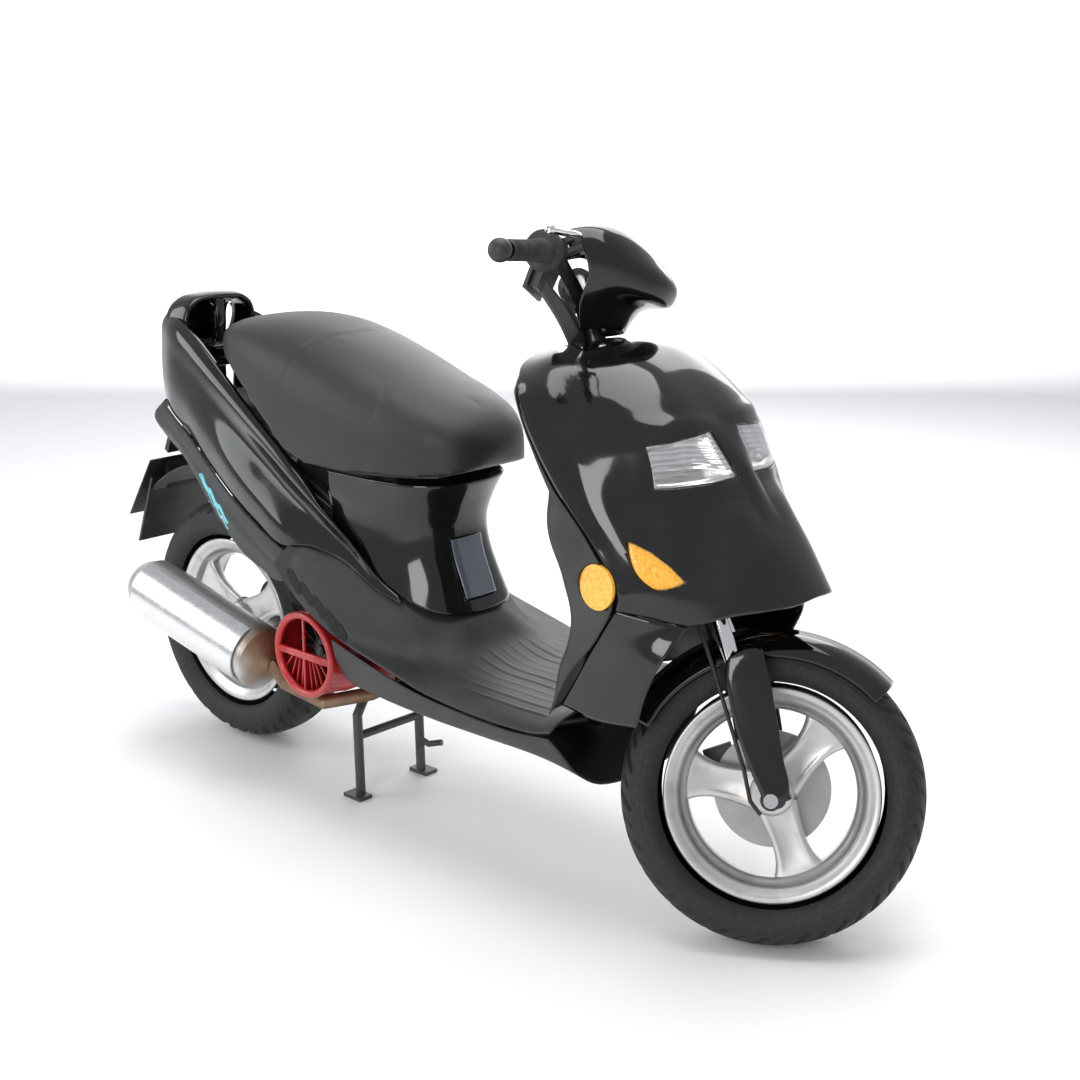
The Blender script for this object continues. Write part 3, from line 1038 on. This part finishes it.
cover_line = np.array([(-704, 872), (-722, 862), (-736, 812), (-744, 760), (-744, 690)], float)
profile = along_curve(cover_line[:, None, :], 8)[:, 0] * MM
wide = np.linspace(-1, 1, 25)
half = np.interp(profile[:, 1], [0.690, 0.76, 0.87], [0.064, 0.066, 0.060])[:, None]
back = np.stack([profile[:, :1] + 0.014 * np.abs(wide) ** 4, half * wide, np.tile(profile[:, 1:], (1, 25))], axis=-1)
piece("tail_hoop_back", back, gloss, "frame", wall=0.006)

# ---------------------------------------------------------------- fan cover
# Round cover of the cooling fan in red nylon: rolled rim, a level bar across the
# intake and curved vanes behind it.
CRANK_X, CRANK_Z = joint("crank_spin")["pos_m"][0], joint("crank_spin")["pos_m"][2]
fan_centre = np.array([CRANK_X, 0.0, CRANK_Z])
cup_r = np.array([84, 84, 82, 79, 77.5, 78.5, 79, 77, 73, 69, 66, 65, 66, 70, 74, 75, 76, 80]) * MM
cup_y = -np.array([119, 124, 134, 160, 184, 188, 193, 197, 198.5, 197, 194, 190, 187, 184, 178, 150, 125, 119]) * MM
down = np.array([0.0, 1.0, 0.0])
piece("fan_cup", about_axis(cup_r, cup_y, 128, fan_centre, down, (1.0, 0.0, 0.0)), red_paint, "engine", ("fan_cover",),
      wrap=(True, True))


def slat(name, starts, ends, half, near, far, finish, body):
    """Rounded bar between two points in a plane across y, half its height, from y near to y far."""
    starts, ends = np.array(starts, float), np.array(ends, float)
    run = (ends - starts) / np.linalg.norm(ends - starts)
    side = np.array([-run[1], run[0]])
    turn = np.linspace(0, 2 * np.pi, 16, endpoint=False)
    u = np.sign(np.cos(turn)) * np.abs(np.cos(turn)) ** 0.5 * half
    v = (near + far) / 2 + np.sign(np.sin(turn)) * np.abs(np.sin(turn)) ** 0.5 * (far - near) / 2
    loops = []
    for at in (starts, (starts * 2 + ends) / 3, (starts + ends * 2) / 3, ends):
        flat = at[None, :] + side[None, :] * u[:, None]
        loops.append(np.stack([flat[:, 0], v, flat[:, 1]], axis=-1))
    return piece(name, np.stack(loops), finish, body, wrap=(False, True), capped=True)


slat("fan_bar", (CRANK_X - 0.070, CRANK_Z), (CRANK_X + 0.070, CRANK_Z), 0.0068, -0.189, -0.1975, red_paint, "engine")
slat("fan_post", (CRANK_X, CRANK_Z - 0.070), (CRANK_X, CRANK_Z + 0.070), 0.0026, -0.189, -0.194, red_paint, "engine")
for k in range(9):
    across = (k - 4) * 0.0145
    reach = np.sqrt(0.068**2 - across**2)
    slat(f"fan_vane_{k + 1}", (CRANK_X + across * 0.5, CRANK_Z), (CRANK_X + across, CRANK_Z - reach), 0.0013, -0.184, -0.189,
         red_paint, "engine")


# ---------------------------------------------------------------- rear shock spring
# Coil of 7.6 mm wire between the shock's two seats; its lower end rides the rod, so
# the coil closes up as the engine swings.
coil_turns, coil_base, coil_height, coil_r, wire_r = 7, 0.376, 0.176, 0.0215, 0.0038
sweep = np.linspace(0, 2 * np.pi * coil_turns, coil_turns * 40)[:, None]
tube_at = np.linspace(0, 2 * np.pi, 12, endpoint=False)[None, :]
reach = coil_r + wire_r * np.cos(tube_at)
coil = np.stack([-0.548 + reach * np.cos(sweep), 0.104 + reach * np.sin(sweep),
                 coil_base + coil_height * sweep / sweep[-1] + wire_r * np.sin(tube_at)], axis=-1)
spring = piece("shock_coil", coil, bright, None, ("shock_spring",), wrap=(False, True), capped=True)
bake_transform(spring)
